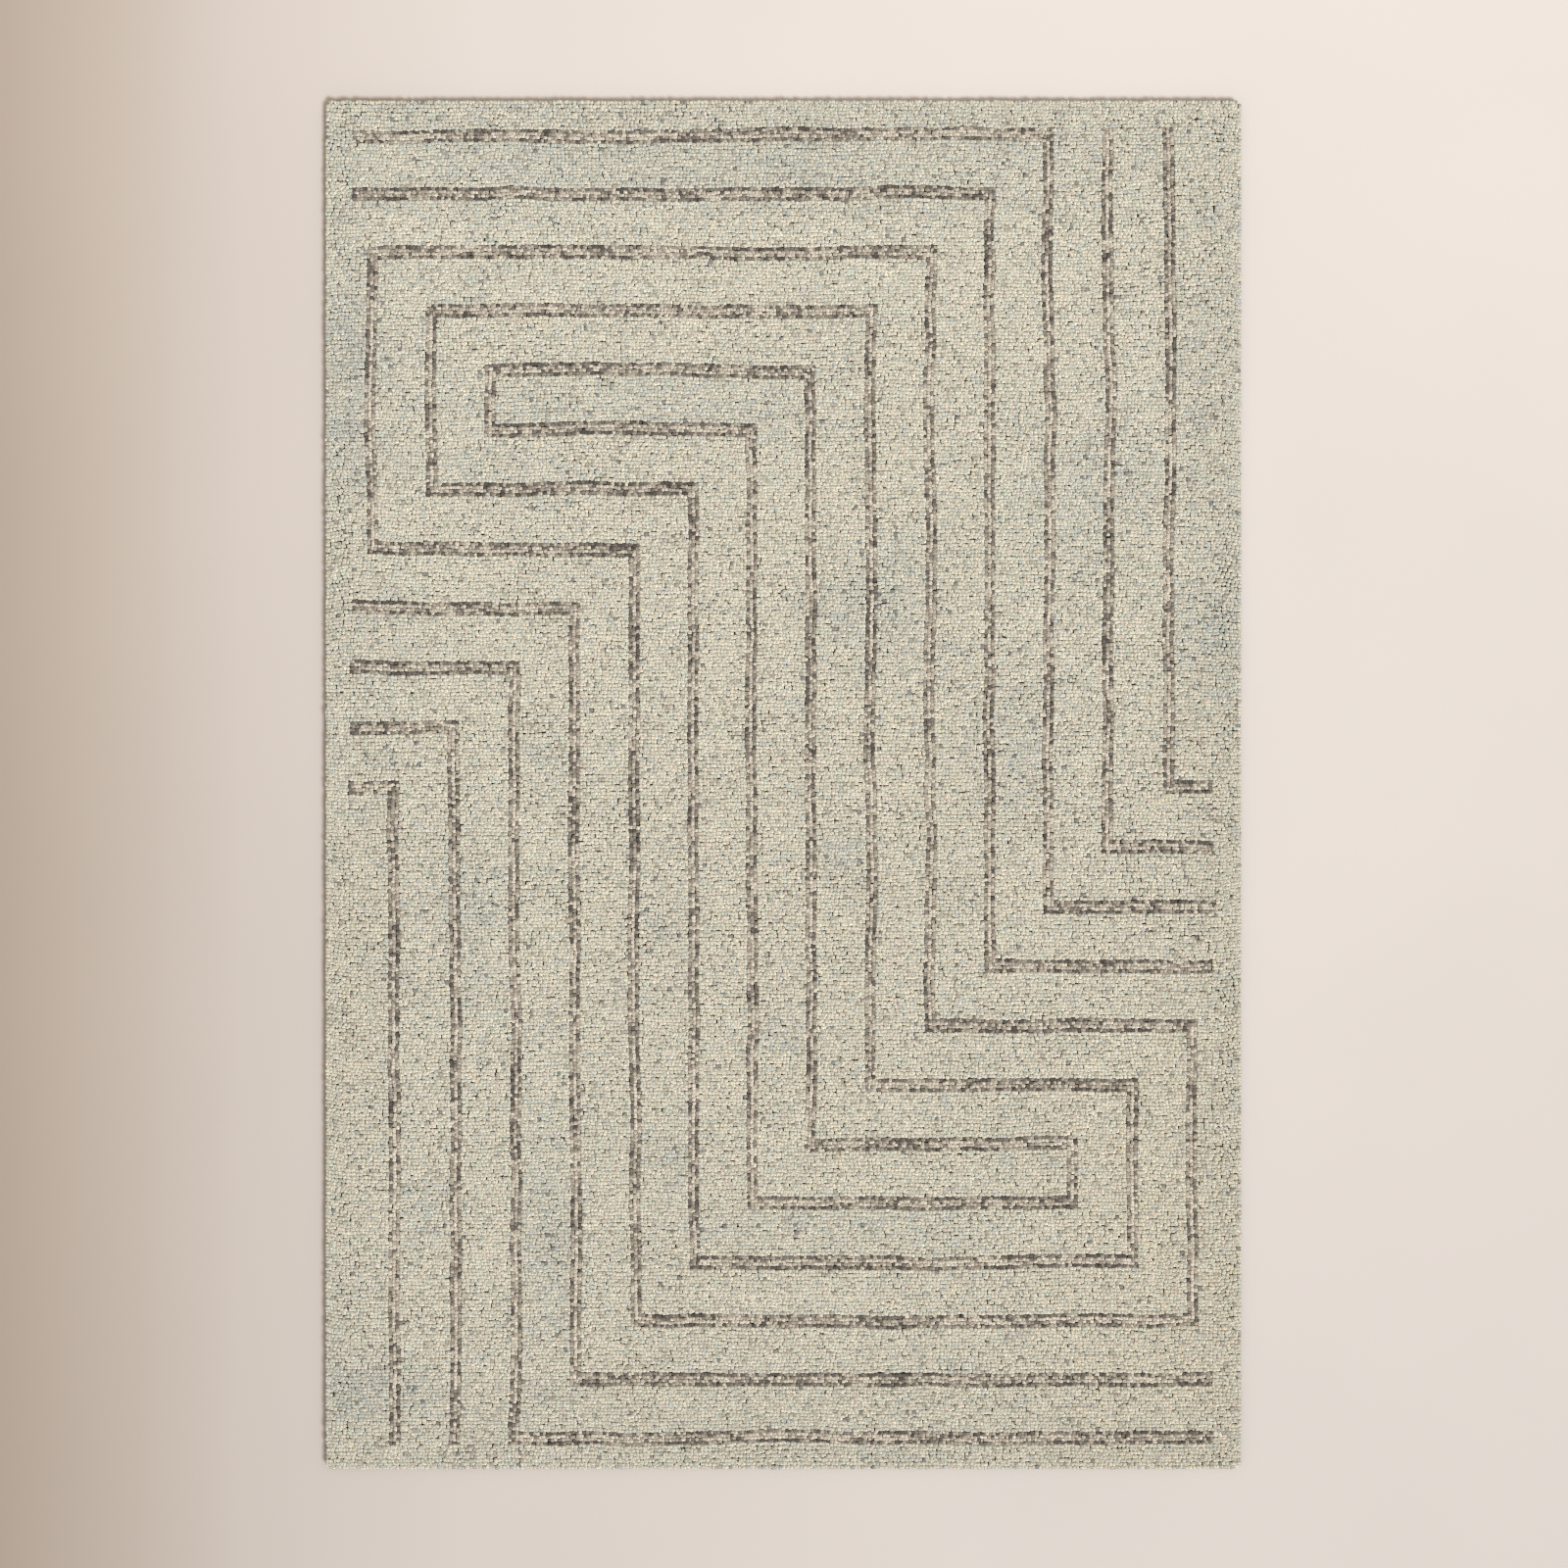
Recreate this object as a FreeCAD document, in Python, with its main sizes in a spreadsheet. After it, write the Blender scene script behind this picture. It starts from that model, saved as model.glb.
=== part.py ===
import FreeCAD, Part
import math
import os
import Sketcher

# A hand-tufted area rug. The pile is looped wool, tufted through a primary backing cloth in
# separate runs of yarn: eleven narrow dark lines and the pale fields between them. Under the
# primary cloth lie a coat of latex, a secondary backing cloth and four binding tapes.
#
# X runs across the rug, Y along it and Z up through the pile. The origin is on the floor,
# under the middle of the rug. Lengths are in millimetres.

SIZES = {
    "rug_width": 1219.0,
    "rug_length": 1823.0,
    "corner_radius": 12.0,
    # The lines follow a grid of columns and rows, laid a little off the rug's middle by hand.
    "column_pitch": 79.6,
    "row_pitch": 78.8,
    "pattern_shift_x": -2.3,
    "pattern_shift_y": -2.3,
    # Lines that run along the rug are narrower than those that run across it.
    "upright_line_width": 14.6,
    "level_line_width": 17.6,
    # How far a line runs past the outermost column before the border stops it.
    "open_end_reach": 57.0,
    # How far the turned end of a closed loop stands out from its column.
    "loop_end_reach": 30.0,
    # The layers, from the floor up.
    "tape_thickness": 0.8,
    "tape_width": 32.0,
    "tape_inset": 4.0,
    "cloth_thickness": 0.8,
    "secondary_inset": 10.0,
    "hem_width": 40.0,
    "latex_thickness": 1.2,
    "field_pile_height": 8.0,
    "line_pile_height": 7.5,
}
LAST_COLUMN = 13
LAST_ROW = 22

# Heights of the undersides of the layers.
SECONDARY_BASE = "Sizes.tape_thickness"
HEM_BASE = f"({SECONDARY_BASE} + Sizes.cloth_thickness)"
HEM_TOP = f"({HEM_BASE} + Sizes.cloth_thickness)"
PRIMARY_BASE = f"({HEM_TOP} + Sizes.latex_thickness)"
PILE_BASE = f"({PRIMARY_BASE} + Sizes.cloth_thickness)"

# Half a line's width, by the axis that it is measured on.
HALF_LINE = {"x": "Sizes.upright_line_width / 2", "y": "Sizes.level_line_width / 2"}

# The numbers that a constraint takes for an element's start and end, and for the origin.
START = 1
END = 2
ORIGIN = (-1, 1)

# The signs of X and Y at the rug's four corners, anticlockwise from the bottom left.
TURNS = [("-", "-"), ("", "-"), ("", ""), ("-", "")]
TAPES = ["edge_tape_bottom", "edge_tape_right", "edge_tape_top", "edge_tape_left"]

TOLERANCE = 1e-6

doc = FreeCAD.newDocument("AreaRug")
sheet = doc.addObject("Spreadsheet::Sheet", "Sizes")
for sheet_row, (alias, size) in enumerate(SIZES.items(), start=1):
    sheet.set(f"A{sheet_row}", alias)
    sheet.set(f"B{sheet_row}", str(size))
    sheet.setAlias(f"B{sheet_row}", alias)
doc.recompute()


# ---- the pattern: every straight side is an axis and the expression for its place on it ----


def column(number):
    """The centre of a column. Columns are counted from the left."""
    return "x", f"Sizes.column_pitch * ({number} - {LAST_COLUMN} / 2) + Sizes.pattern_shift_x"


def row(number):
    """The centre of a row. Rows are counted from the far end of the rug."""
    return "y", f"Sizes.row_pitch * ({LAST_ROW} / 2 - {number}) + Sizes.pattern_shift_y"


def moved(sides, distance):
    return [(axis, f"{place} + {distance}") for axis, place in sides]


def over(path):
    """The upper or right-hand edges of the line whose centre follows the path."""
    return [(axis, f"{place} + {HALF_LINE[axis]}") for axis, place in path]


def under(path):
    """The lower or left-hand edges of the line whose centre follows the path."""
    return [(axis, f"{place} - {HALF_LINE[axis]}") for axis, place in path]


def outline(start, upper, end, lower):
    """The sides of a shape in turn, clockwise: both of its long edges run from start to end."""
    return [*start, *upper, *end, *reversed(lower)]


def corners_of(sides):
    """The corners of an outline, each where a side meets the next one."""
    crossings = [dict(pair) for pair in zip(sides, sides[1:] + sides[:1])]
    return [(crossing["x"], crossing["y"]) for crossing in crossings]


LEFT_END = moved([column(0)], "-Sizes.open_end_reach")
RIGHT_END = moved([column(LAST_COLUMN)], "Sizes.open_end_reach")
TOP_END = over([row(0)])
BOTTOM_END = under([row(LAST_ROW)])

UPPER_OUTER = [row(0), column(11), row(13)]
UPPER_INNER = [row(1), column(10), row(14)]
RIGHT_INNER = [column(12), row(12)]
RIGHT_OUTER = [column(13), row(11)]
LOWER_INNER = [row(8), column(3), row(21)]
LOWER_OUTER = [row(9), column(2), row(22)]
LEFT_INNER = [row(10), column(1)]
LEFT_OUTER = [row(11), column(0)]

OPEN_LINES = {
    "upper_outer_line": (LEFT_END, UPPER_OUTER, RIGHT_END),
    "upper_inner_line": (LEFT_END, UPPER_INNER, RIGHT_END),
    "right_inner_line": (TOP_END, RIGHT_INNER, RIGHT_END),
    "right_outer_line": (TOP_END, RIGHT_OUTER, RIGHT_END),
    "lower_inner_line": (LEFT_END, LOWER_INNER, RIGHT_END),
    "lower_outer_line": (LEFT_END, LOWER_OUTER, RIGHT_END),
    "left_inner_line": (LEFT_END, LEFT_INNER, BOTTOM_END),
    "left_outer_line": (LEFT_END, LEFT_OUTER, BOTTOM_END),
}
LOOP_LINES = ["outer_loop_line", "middle_loop_line", "inner_loop_line"]


def loop_path(depth):
    """The centre of a closed loop, which steps in by one row and one column with each depth."""
    left = moved([column(depth)], "-Sizes.loop_end_reach")
    right = moved([column(LAST_COLUMN - depth)], "Sizes.loop_end_reach")
    upper = [row(2 + depth), column(9 - depth), row(15 + depth)]
    lower = [row(7 - depth), column(4 + depth), row(20 - depth)]
    return left, upper, right, lower


def outside_loop(depth):
    left, upper, right, lower = loop_path(depth)
    return outline(under(left), over(upper), over(right), under(lower))


def inside_loop(depth):
    left, upper, right, lower = loop_path(depth)
    return outline(over(left), under(upper), under(right), over(lower))


# Each field is its outer outline, followed by the outline of the hole in it if it has one.
FIELDS = {
    "top_right_block_pile": [outline(TOP_END, [], RIGHT_END, over(RIGHT_OUTER))],
    "right_outer_lane_pile": [
        outline(TOP_END, under(RIGHT_OUTER), RIGHT_END, over(RIGHT_INNER))
    ],
    "right_inner_lane_pile": [
        outline(TOP_END, under(RIGHT_INNER), RIGHT_END, over(UPPER_OUTER[1:]))
    ],
    "upper_lane_pile": [
        outline(LEFT_END, under(UPPER_OUTER), RIGHT_END, over(UPPER_INNER))
    ],
    "outer_ring_pile": [
        outline(LEFT_END, under(UPPER_INNER), RIGHT_END, over(LOWER_INNER)),
        outside_loop(0),
    ],
    "middle_ring_pile": [inside_loop(0), outside_loop(1)],
    "inner_ring_pile": [inside_loop(1), outside_loop(2)],
    "centre_pile": [inside_loop(2)],
    "lower_lane_pile": [
        outline(LEFT_END, under(LOWER_INNER), RIGHT_END, over(LOWER_OUTER))
    ],
    "left_inner_lane_pile": [
        outline(LEFT_END, under(LOWER_OUTER[:2]), BOTTOM_END, over(LEFT_INNER))
    ],
    "left_outer_lane_pile": [
        outline(LEFT_END, under(LEFT_INNER), BOTTOM_END, over(LEFT_OUTER))
    ],
    "bottom_left_block_pile": [outline(LEFT_END, under(LEFT_OUTER), BOTTOM_END, [])],
}


# ---- bodies, sketches and their features ----


def new_body(label, base="0"):
    """An empty body whose own XY plane lies at the given height above the floor."""
    body = doc.addObject("PartDesign::Body", label)
    body.Label = label
    body.setExpression(".Placement.Base.z", base)
    return body


def new_sketch(body, purpose, lift="0"):
    """A sketch parallel to the body's XY plane, lifted above it."""
    plane = next(item for item in body.Origin.OriginFeatures if item.Role == "XY_Plane")
    sketch = body.newObject("Sketcher::SketchObject", f"{body.Label}_{purpose}")
    sketch.AttachmentSupport = [(plane, "")]
    sketch.MapMode = "FlatFace"
    sketch.setExpression(".AttachmentOffset.Base.z", lift)
    return sketch


def constrain(sketch, kind, reference, expression):
    """Add a dimension to the sketch and bind it to an expression."""
    value = sheet.evalExpression(expression)
    number = sketch.addConstraint(Sketcher.Constraint(kind, *reference, value))
    sketch.setExpression(f"Constraints[{number}]", expression)


def draw_polygon(sketch, corners):
    """A closed polygon whose corners are pairs of expressions."""
    first = sketch.GeometryCount
    points = [
        FreeCAD.Vector(sheet.evalExpression(x), sheet.evalExpression(y), 0) for x, y in corners
    ]
    for start, end in zip(points, points[1:] + points[:1]):
        sketch.addGeometry(Part.LineSegment(start, end), False)
    sides = list(range(first, first + len(corners)))
    for side, following in zip(sides, sides[1:] + sides[:1]):
        sketch.addConstraint(Sketcher.Constraint("Coincident", side, END, following, START))
    for side, (x, y) in zip(sides, corners):
        constrain(sketch, "DistanceX", (*ORIGIN, side, START), x)
        constrain(sketch, "DistanceY", (*ORIGIN, side, START), y)


def rug_corner(signs, inset):
    """One square corner of the rug, moved inwards by the inset."""
    sign_x, sign_y = signs
    return (
        f"{sign_x}(Sizes.rug_width / 2 - ({inset}))",
        f"{sign_y}(Sizes.rug_length / 2 - ({inset}))",
    )


def draw_square_rug(sketch, inset):
    """The rug's outline with square corners, moved inwards by the inset."""
    draw_polygon(sketch, [rug_corner(signs, inset) for signs in TURNS])


def draw_rounded_rug(sketch, inset="0"):
    """The rug's outline with its round corners, moved inwards by the inset."""
    left, bottom = rug_corner(("-", "-"), inset)
    right, top = rug_corner(("", ""), inset)
    radius = f"Sizes.corner_radius - ({inset})"
    bend = sheet.evalExpression(radius)
    centre_x = sheet.evalExpression(right) - bend
    centre_y = sheet.evalExpression(top) - bend
    centres = [
        FreeCAD.Vector(centre_x, centre_y, 0),
        FreeCAD.Vector(-centre_x, centre_y, 0),
        FreeCAD.Vector(-centre_x, -centre_y, 0),
        FreeCAD.Vector(centre_x, -centre_y, 0),
    ]
    first = sketch.GeometryCount
    # Each corner's arc and the straight side after it, anticlockwise from the top right.
    for number, (centre, next_centre) in enumerate(zip(centres, centres[1:] + centres[:1])):
        circle = Part.Circle(centre, FreeCAD.Vector(0, 0, 1), bend)
        start_angle = number * math.pi / 2
        arc = Part.ArcOfCircle(circle, start_angle, start_angle + math.pi / 2)
        side = Part.LineSegment(arc.EndPoint, arc.EndPoint + next_centre - centre)
        sketch.addGeometry([arc, side], False)
    elements = list(range(first, first + 2 * len(centres)))
    for element, following in zip(elements, elements[1:] + elements[:1]):
        sketch.addConstraint(Sketcher.Constraint("Tangent", element, END, following, START))
    arcs = elements[0::2]
    top_side, left_side, bottom_side, right_side = elements[1::2]
    for side in (top_side, bottom_side):
        sketch.addConstraint(Sketcher.Constraint("Horizontal", side))
    for side in (left_side, right_side):
        sketch.addConstraint(Sketcher.Constraint("Vertical", side))
    for arc in arcs[1:]:
        sketch.addConstraint(Sketcher.Constraint("Equal", arcs[0], arc))
    constrain(sketch, "Radius", (arcs[0],), radius)
    constrain(sketch, "DistanceX", (*ORIGIN, right_side, START), right)
    constrain(sketch, "DistanceX", (*ORIGIN, left_side, START), left)
    constrain(sketch, "DistanceY", (*ORIGIN, top_side, START), top)
    constrain(sketch, "DistanceY", (*ORIGIN, bottom_side, START), bottom)


def pad(body, sketch, height):
    feature = body.newObject("PartDesign::Pad", f"{sketch.Label}_pad")
    feature.Profile = sketch
    feature.setExpression("Length", height)
    sketch.Visibility = False
    doc.recompute()


def hollow(body, sketch, depth):
    """Cut upwards from the sketch, and make sure that the cut took something away."""
    before = body.Shape.Volume
    feature = body.newObject("PartDesign::Pocket", f"{sketch.Label}_pocket")
    feature.Profile = sketch
    feature.Reversed = True
    feature.setExpression("Length", depth)
    sketch.Visibility = False
    doc.recompute()
    if not body.Shape.Volume < before:
        raise RuntimeError(f"{feature.Label} cut nothing")


# ---- the pieces ----


def make_tapes():
    """The binding tapes under the rug's edges, one a side, mitred where they meet."""
    outer = [rug_corner(signs, "Sizes.tape_inset") for signs in TURNS]
    inner = [rug_corner(signs, "Sizes.tape_inset + Sizes.tape_width") for signs in TURNS]
    tapes = []
    for number, label in enumerate(TAPES):
        following = (number + 1) % len(TAPES)
        body = new_body(label)
        sketch = new_sketch(body, "outline")
        draw_polygon(
            sketch, [outer[number], outer[following], inner[following], inner[number]]
        )
        pad(body, sketch, "Sizes.tape_thickness")
        tapes.append(body)
    return tapes


def make_secondary_backing():
    """The cloth glued over the whole back, just short of the rug's edges."""
    body = new_body("secondary_backing", SECONDARY_BASE)
    sketch = new_sketch(body, "outline")
    draw_square_rug(sketch, "Sizes.secondary_inset")
    pad(body, sketch, "Sizes.cloth_thickness")
    return body


def make_primary_backing():
    """The cloth that holds the tufts, folded down round the edge and back under as a hem."""
    body = new_body("primary_backing", HEM_BASE)
    sheet_outline = new_sketch(body, "outline")
    draw_rounded_rug(sheet_outline)
    pad(body, sheet_outline, f"{PILE_BASE} - {HEM_BASE}")
    back_opening = new_sketch(body, "back_opening")
    draw_square_rug(back_opening, "Sizes.hem_width")
    hollow(body, back_opening, f"{PRIMARY_BASE} - {HEM_BASE}")
    fold = new_sketch(body, "fold", f"{HEM_TOP} - {HEM_BASE}")
    draw_rounded_rug(fold, "Sizes.cloth_thickness")
    hollow(body, fold, f"{PRIMARY_BASE} - {HEM_TOP}")
    return body


def make_latex_layer():
    """The latex that locks the tufts: it fills the hem's fold and the opening inside the hem."""
    body = new_body("latex_layer", HEM_BASE)
    opening = new_sketch(body, "back_opening")
    draw_square_rug(opening, "Sizes.hem_width")
    pad(body, opening, f"{PRIMARY_BASE} - {HEM_BASE}")
    fold = new_sketch(body, "fold", f"{HEM_TOP} - {HEM_BASE}")
    draw_rounded_rug(fold, "Sizes.cloth_thickness")
    pad(body, fold, f"{PRIMARY_BASE} - {HEM_TOP}")
    return body


def make_pile(label, outlines, height):
    """One run of pile between the outlines, standing on the primary backing."""
    body = new_body(label, PILE_BASE)
    sketch = new_sketch(body, "outline")
    for sides in outlines:
        draw_polygon(sketch, corners_of(sides))
    pad(body, sketch, height)
    return body


def make_border():
    """The frame of pale pile all round the rug, outside the ends of the lines."""
    body = new_body("border_pile", PILE_BASE)
    sketch = new_sketch(body, "outline")
    draw_rounded_rug(sketch)
    draw_polygon(sketch, corners_of(outline(LEFT_END, TOP_END, RIGHT_END, BOTTOM_END)))
    pad(body, sketch, "Sizes.field_pile_height")
    return body


def make_lines():
    """The dark lines: open ones that start and stop at the border, and closed loops."""
    lines = []
    for label, (start, path, end) in OPEN_LINES.items():
        sides = outline(start, over(path), end, under(path))
        lines.append(make_pile(label, [sides], "Sizes.line_pile_height"))
    for depth, label in enumerate(LOOP_LINES):
        outlines = [outside_loop(depth), inside_loop(depth)]
        lines.append(make_pile(label, outlines, "Sizes.line_pile_height"))
    return lines


def make_fields():
    """The pale pile between the lines."""
    return [
        make_pile(label, outlines, "Sizes.field_pile_height")
        for label, outlines in FIELDS.items()
    ]


def check_document():
    for item in doc.Objects:
        if "Invalid" in item.State or "Error" in item.State:
            raise RuntimeError(f"{item.Label} did not compute: {item.State}")


def check_pieces(pieces):
    for piece in pieces:
        if piece.Shape.isNull() or not piece.Shape.isValid():
            raise RuntimeError(f"{piece.Label} has no valid shape")
        if len(piece.Shape.Solids) != 1:
            raise RuntimeError(f"{piece.Label} is not a single solid")


def check_cover(primary, fields, lines):
    """The runs of pile cover the primary backing edge to edge, with no gap and no overlap."""
    top = primary.Shape.BoundBox.ZMax
    backing_area = sum(
        face.Area for face in primary.Shape.Faces if face.BoundBox.ZMin > top - TOLERANCE
    )
    covered = sum(piece.Shape.Volume for piece in fields) / SIZES["field_pile_height"]
    covered += sum(piece.Shape.Volume for piece in lines) / SIZES["line_pile_height"]
    if abs(covered - backing_area) > TOLERANCE * backing_area:
        raise RuntimeError(f"the pile covers {covered} of {backing_area} square millimetres")


tapes = make_tapes()
secondary_backing = make_secondary_backing()
latex_layer = make_latex_layer()
primary_backing = make_primary_backing()
dark_lines = make_lines()
pale_fields = [make_border(), *make_fields()]
sub_parts = [
    *tapes,
    secondary_backing,
    latex_layer,
    primary_backing,
    *dark_lines,
    *pale_fields,
]

doc.recompute()
check_document()
check_pieces(sub_parts)
check_cover(primary_backing, pale_fields, dark_lines)

os.makedirs("parts", exist_ok=True)
for sub_part in sub_parts:
    sub_part.Shape.exportStep(f"parts/{sub_part.Label}.step")
    box = sub_part.Shape.BoundBox
    print(
        f"{sub_part.Label}: {box.XLength:.1f} x {box.YLength:.1f} x {box.ZLength:.1f} mm, "
        f"{sub_part.Shape.Volume / 1000:.1f} cm3"
    )
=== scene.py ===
import math

import bpy
import numpy as np
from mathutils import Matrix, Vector


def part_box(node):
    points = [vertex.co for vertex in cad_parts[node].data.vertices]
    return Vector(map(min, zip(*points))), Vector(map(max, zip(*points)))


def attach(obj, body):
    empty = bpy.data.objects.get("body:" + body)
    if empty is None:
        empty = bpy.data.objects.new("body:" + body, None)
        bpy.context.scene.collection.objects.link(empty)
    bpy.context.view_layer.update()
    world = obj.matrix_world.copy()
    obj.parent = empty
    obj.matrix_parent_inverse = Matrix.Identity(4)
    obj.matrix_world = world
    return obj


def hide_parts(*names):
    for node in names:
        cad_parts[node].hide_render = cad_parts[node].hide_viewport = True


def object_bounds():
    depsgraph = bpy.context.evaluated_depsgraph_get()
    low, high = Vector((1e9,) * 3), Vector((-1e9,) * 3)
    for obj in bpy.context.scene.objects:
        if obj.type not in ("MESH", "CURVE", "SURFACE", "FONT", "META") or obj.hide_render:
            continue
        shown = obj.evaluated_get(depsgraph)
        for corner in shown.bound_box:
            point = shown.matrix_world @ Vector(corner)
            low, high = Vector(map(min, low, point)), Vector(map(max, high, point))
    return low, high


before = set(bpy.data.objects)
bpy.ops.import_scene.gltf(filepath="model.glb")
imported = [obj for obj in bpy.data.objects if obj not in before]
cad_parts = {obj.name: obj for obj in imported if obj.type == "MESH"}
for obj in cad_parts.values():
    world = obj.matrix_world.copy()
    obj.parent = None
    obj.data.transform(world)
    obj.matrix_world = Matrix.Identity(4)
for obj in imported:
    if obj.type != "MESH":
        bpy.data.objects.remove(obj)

# The looks of a hand-tufted area rug. Its pile is about a hundred thousand separate loops of wool
# yarn, each with its own shape and colour, grouped by the run of pile that it belongs to. Below the
# pile are the cloths, the latex and the sewn-on tapes of the back. Lengths are in metres.

MILLIMETRE = 0.001

cad_low, cad_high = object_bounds()
RUG_WIDTH = cad_high.x - cad_low.x
RUG_LENGTH = cad_high.y - cad_low.y
PILE_TOP = cad_high.z
PILE_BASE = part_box("border_pile")[0].z

# The yarn loops stand in a grid of columns and rows of about this pitch.
LOOP_PITCH = 4.85 * MILLIMETRE
# How far a row of stitches is ahead of or behind its neighbours at most, and how unevenly its loops
# follow one another, as shares of the pitch.
ROW_OFFSET = 0.42
UNEVENNESS = 0.09
# A piece with more loops than this is made as two halves, far and near.
MOST_LOOPS = 8300

LINE_NODES = sorted(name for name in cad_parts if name.endswith("_line"))
FIELD_NODES = sorted(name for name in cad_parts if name.endswith("_pile"))
PILE_NODES = LINE_NODES + FIELD_NODES


def put_in_scene(name, data):
    """A new object in the scene, made of this mesh, light or camera."""
    item = bpy.data.objects.new(name, data)
    bpy.context.scene.collection.objects.link(item)
    return item


def square_corners(reach):
    """The corners of a square on the floor that reaches that far each way."""
    return [(-reach, -reach, 0), (reach, -reach, 0), (reach, reach, 0), (-reach, reach, 0)]


# ---- random values that vary smoothly over the rug ----

# Cells of random values kept beyond each side of the rug.
NOISE_MARGIN = 2


def blend_cells(values, column, row, part_x, part_y):
    """The values at the corners of these cells, blended by the places within the cells."""
    near = values[column, row] * (1 - part_x) + values[column + 1, row] * part_x
    far = values[column, row + 1] * (1 - part_x) + values[column + 1, row + 1] * part_x
    return near * (1 - part_y) + far * part_y


def smooth_noise(x, y, step_x, step_y, seed):
    """Random values between -1 and 1 that change smoothly over steps of the given lengths."""
    across = (x - cad_low.x) / step_x + NOISE_MARGIN
    along = (y - cad_low.y) / step_y + NOISE_MARGIN
    columns = int(RUG_WIDTH / step_x) + 2 * NOISE_MARGIN + 2
    rows = int(RUG_LENGTH / step_y) + 2 * NOISE_MARGIN + 2
    values = np.random.default_rng(seed).uniform(-1, 1, (columns, rows))
    column = np.floor(across).astype(int)
    row = np.floor(along).astype(int)
    part_x = across - column
    part_y = along - row
    part_x = part_x * part_x * (3 - 2 * part_x)
    part_y = part_y * part_y * (3 - 2 * part_y)
    return blend_cells(values, column, row, part_x, part_y)


# ---- how the rug lies: a cloth simulation of the whole rug settling on the floor ----

SETTLE_COLUMNS = 61
SETTLE_ROWS = 91
SETTLE_FRAMES = 45
# The waves that being rolled up leaves in the rug: their height, the lengths both ways of the long
# and the short ones, and how high the short ones are as a share of the long ones.
ROLL_WAVE = 5 * MILLIMETRE
LONG_WAVES = (0.9, 0.22)
SHORT_WAVES = (0.25, 0.3)
SHORT_WAVE_SHARE = 0.4
# The settled rug stands off the floor by no more than this.
MOST_LIFT = 1.5 * MILLIMETRE


def simulation_sheet():
    """A plain grid of the rug's size, a little above the floor and wavy from having been rolled."""
    x, y = np.meshgrid(
        np.linspace(cad_low.x, cad_high.x, SETTLE_COLUMNS),
        np.linspace(cad_low.y, cad_high.y, SETTLE_ROWS),
        indexing="ij",
    )
    waves = smooth_noise(x, y, *LONG_WAVES, seed=3)
    waves += SHORT_WAVE_SHARE * smooth_noise(x, y, *SHORT_WAVES, seed=4)
    z = 2 * ROLL_WAVE + ROLL_WAVE * waves
    points = np.stack([x, y, z], axis=-1).reshape(-1, 3)
    first_of_column = np.arange(SETTLE_COLUMNS - 1)[:, None] * SETTLE_ROWS
    corner = (first_of_column + np.arange(SETTLE_ROWS - 1)).ravel()
    faces = np.stack([corner, corner + SETTLE_ROWS, corner + SETTLE_ROWS + 1, corner + 1], axis=1)
    mesh = bpy.data.meshes.new("settling_sheet")
    mesh.from_pydata(points.tolist(), [], faces.tolist())
    return put_in_scene("settling_sheet", mesh)


def add_cloth(sheet):
    """A stiff cloth, damped so that it comes to rest within the simulated frames."""
    cloth = sheet.modifiers.new("settle", "CLOTH")
    cloth.settings.quality = 6
    cloth.settings.mass = 0.4
    cloth.settings.tension_stiffness = 60
    cloth.settings.compression_stiffness = 60
    cloth.settings.shear_stiffness = 30
    cloth.settings.bending_stiffness = 8
    cloth.settings.air_damping = 3
    cloth.collision_settings.distance_min = MILLIMETRE
    cloth.point_cache.frame_start = 1
    cloth.point_cache.frame_end = SETTLE_FRAMES


def add_collider():
    """The floor that the sheet settles on."""
    mesh = bpy.data.meshes.new("settling_floor")
    mesh.from_pydata(square_corners(RUG_LENGTH), [], [(0, 1, 2, 3)])
    collider = put_in_scene("settling_floor", mesh)
    collider.modifiers.new("floor", "COLLISION")
    collider.collision.thickness_outer = MILLIMETRE
    collider.collision.cloth_friction = 30
    return collider


def settled_heights():
    """How far each point of a grid over the rug stands off the floor once it has settled."""
    scene = bpy.context.scene
    collider = add_collider()
    sheet = simulation_sheet()
    add_cloth(sheet)
    for frame_number in range(1, SETTLE_FRAMES + 1):
        scene.frame_set(frame_number)
    settled = sheet.evaluated_get(bpy.context.evaluated_depsgraph_get())
    points = np.empty(len(settled.data.vertices) * 3)
    settled.data.vertices.foreach_get("co", points)
    for helper in (sheet, collider):
        bpy.data.objects.remove(helper)
    scene.frame_set(1)
    heights = points.reshape(SETTLE_COLUMNS, SETTLE_ROWS, 3)[:, :, 2]
    heights -= heights.min()
    return heights * min(1, MOST_LIFT / heights.max())


HEIGHTS = settled_heights()


def lift(x, y):
    """How far the settled rug stands off the floor at these places."""
    across = np.clip((x - cad_low.x) / RUG_WIDTH, 0, 1) * (SETTLE_COLUMNS - 1)
    along = np.clip((y - cad_low.y) / RUG_LENGTH, 0, 1) * (SETTLE_ROWS - 1)
    column = np.minimum(across.astype(int), SETTLE_COLUMNS - 2)
    row = np.minimum(along.astype(int), SETTLE_ROWS - 2)
    return blend_cells(HEIGHTS, column, row, across - column, along - row)


# ---- materials ----


def linear(red, green, blue):
    """An 8-bit colour as the linear values that shaders use."""
    shares = np.array([red, green, blue]) / 255
    return np.where(shares <= 0.04045, shares / 12.92, ((shares + 0.055) / 1.055) ** 2.4)


# The brightness of a level white surface in the studio's light.
LIGHT_LEVEL = 1.03
# How the lit floor looks under a painted soft shadow, from where the shadow is darkest on the left
# to where the floor stops getting lighter, with each tone's share of the way between those two
# places.
FLOOR_SHADOW_DARKEST_AT = -1.05
FLOOR_SHADOW_END_AT = 0.25
FLOOR_PAINTED_SHADOW_TONES = [
    (0.0, (187, 172, 157)),
    (0.13, (204, 191, 177)),
    (0.25, (218, 208, 198)),
    (0.5, (230, 221, 212)),
    (1.0, (236, 228, 220)),
]
# The painted shade on the floor a metre nearer and the painted light a metre farther than the rug's
# middle.
FLOOR_NEAR_PAINTED_SHADE = 0.89
FLOOR_FAR_PAINTED_LIGHT = 1.035

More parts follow.
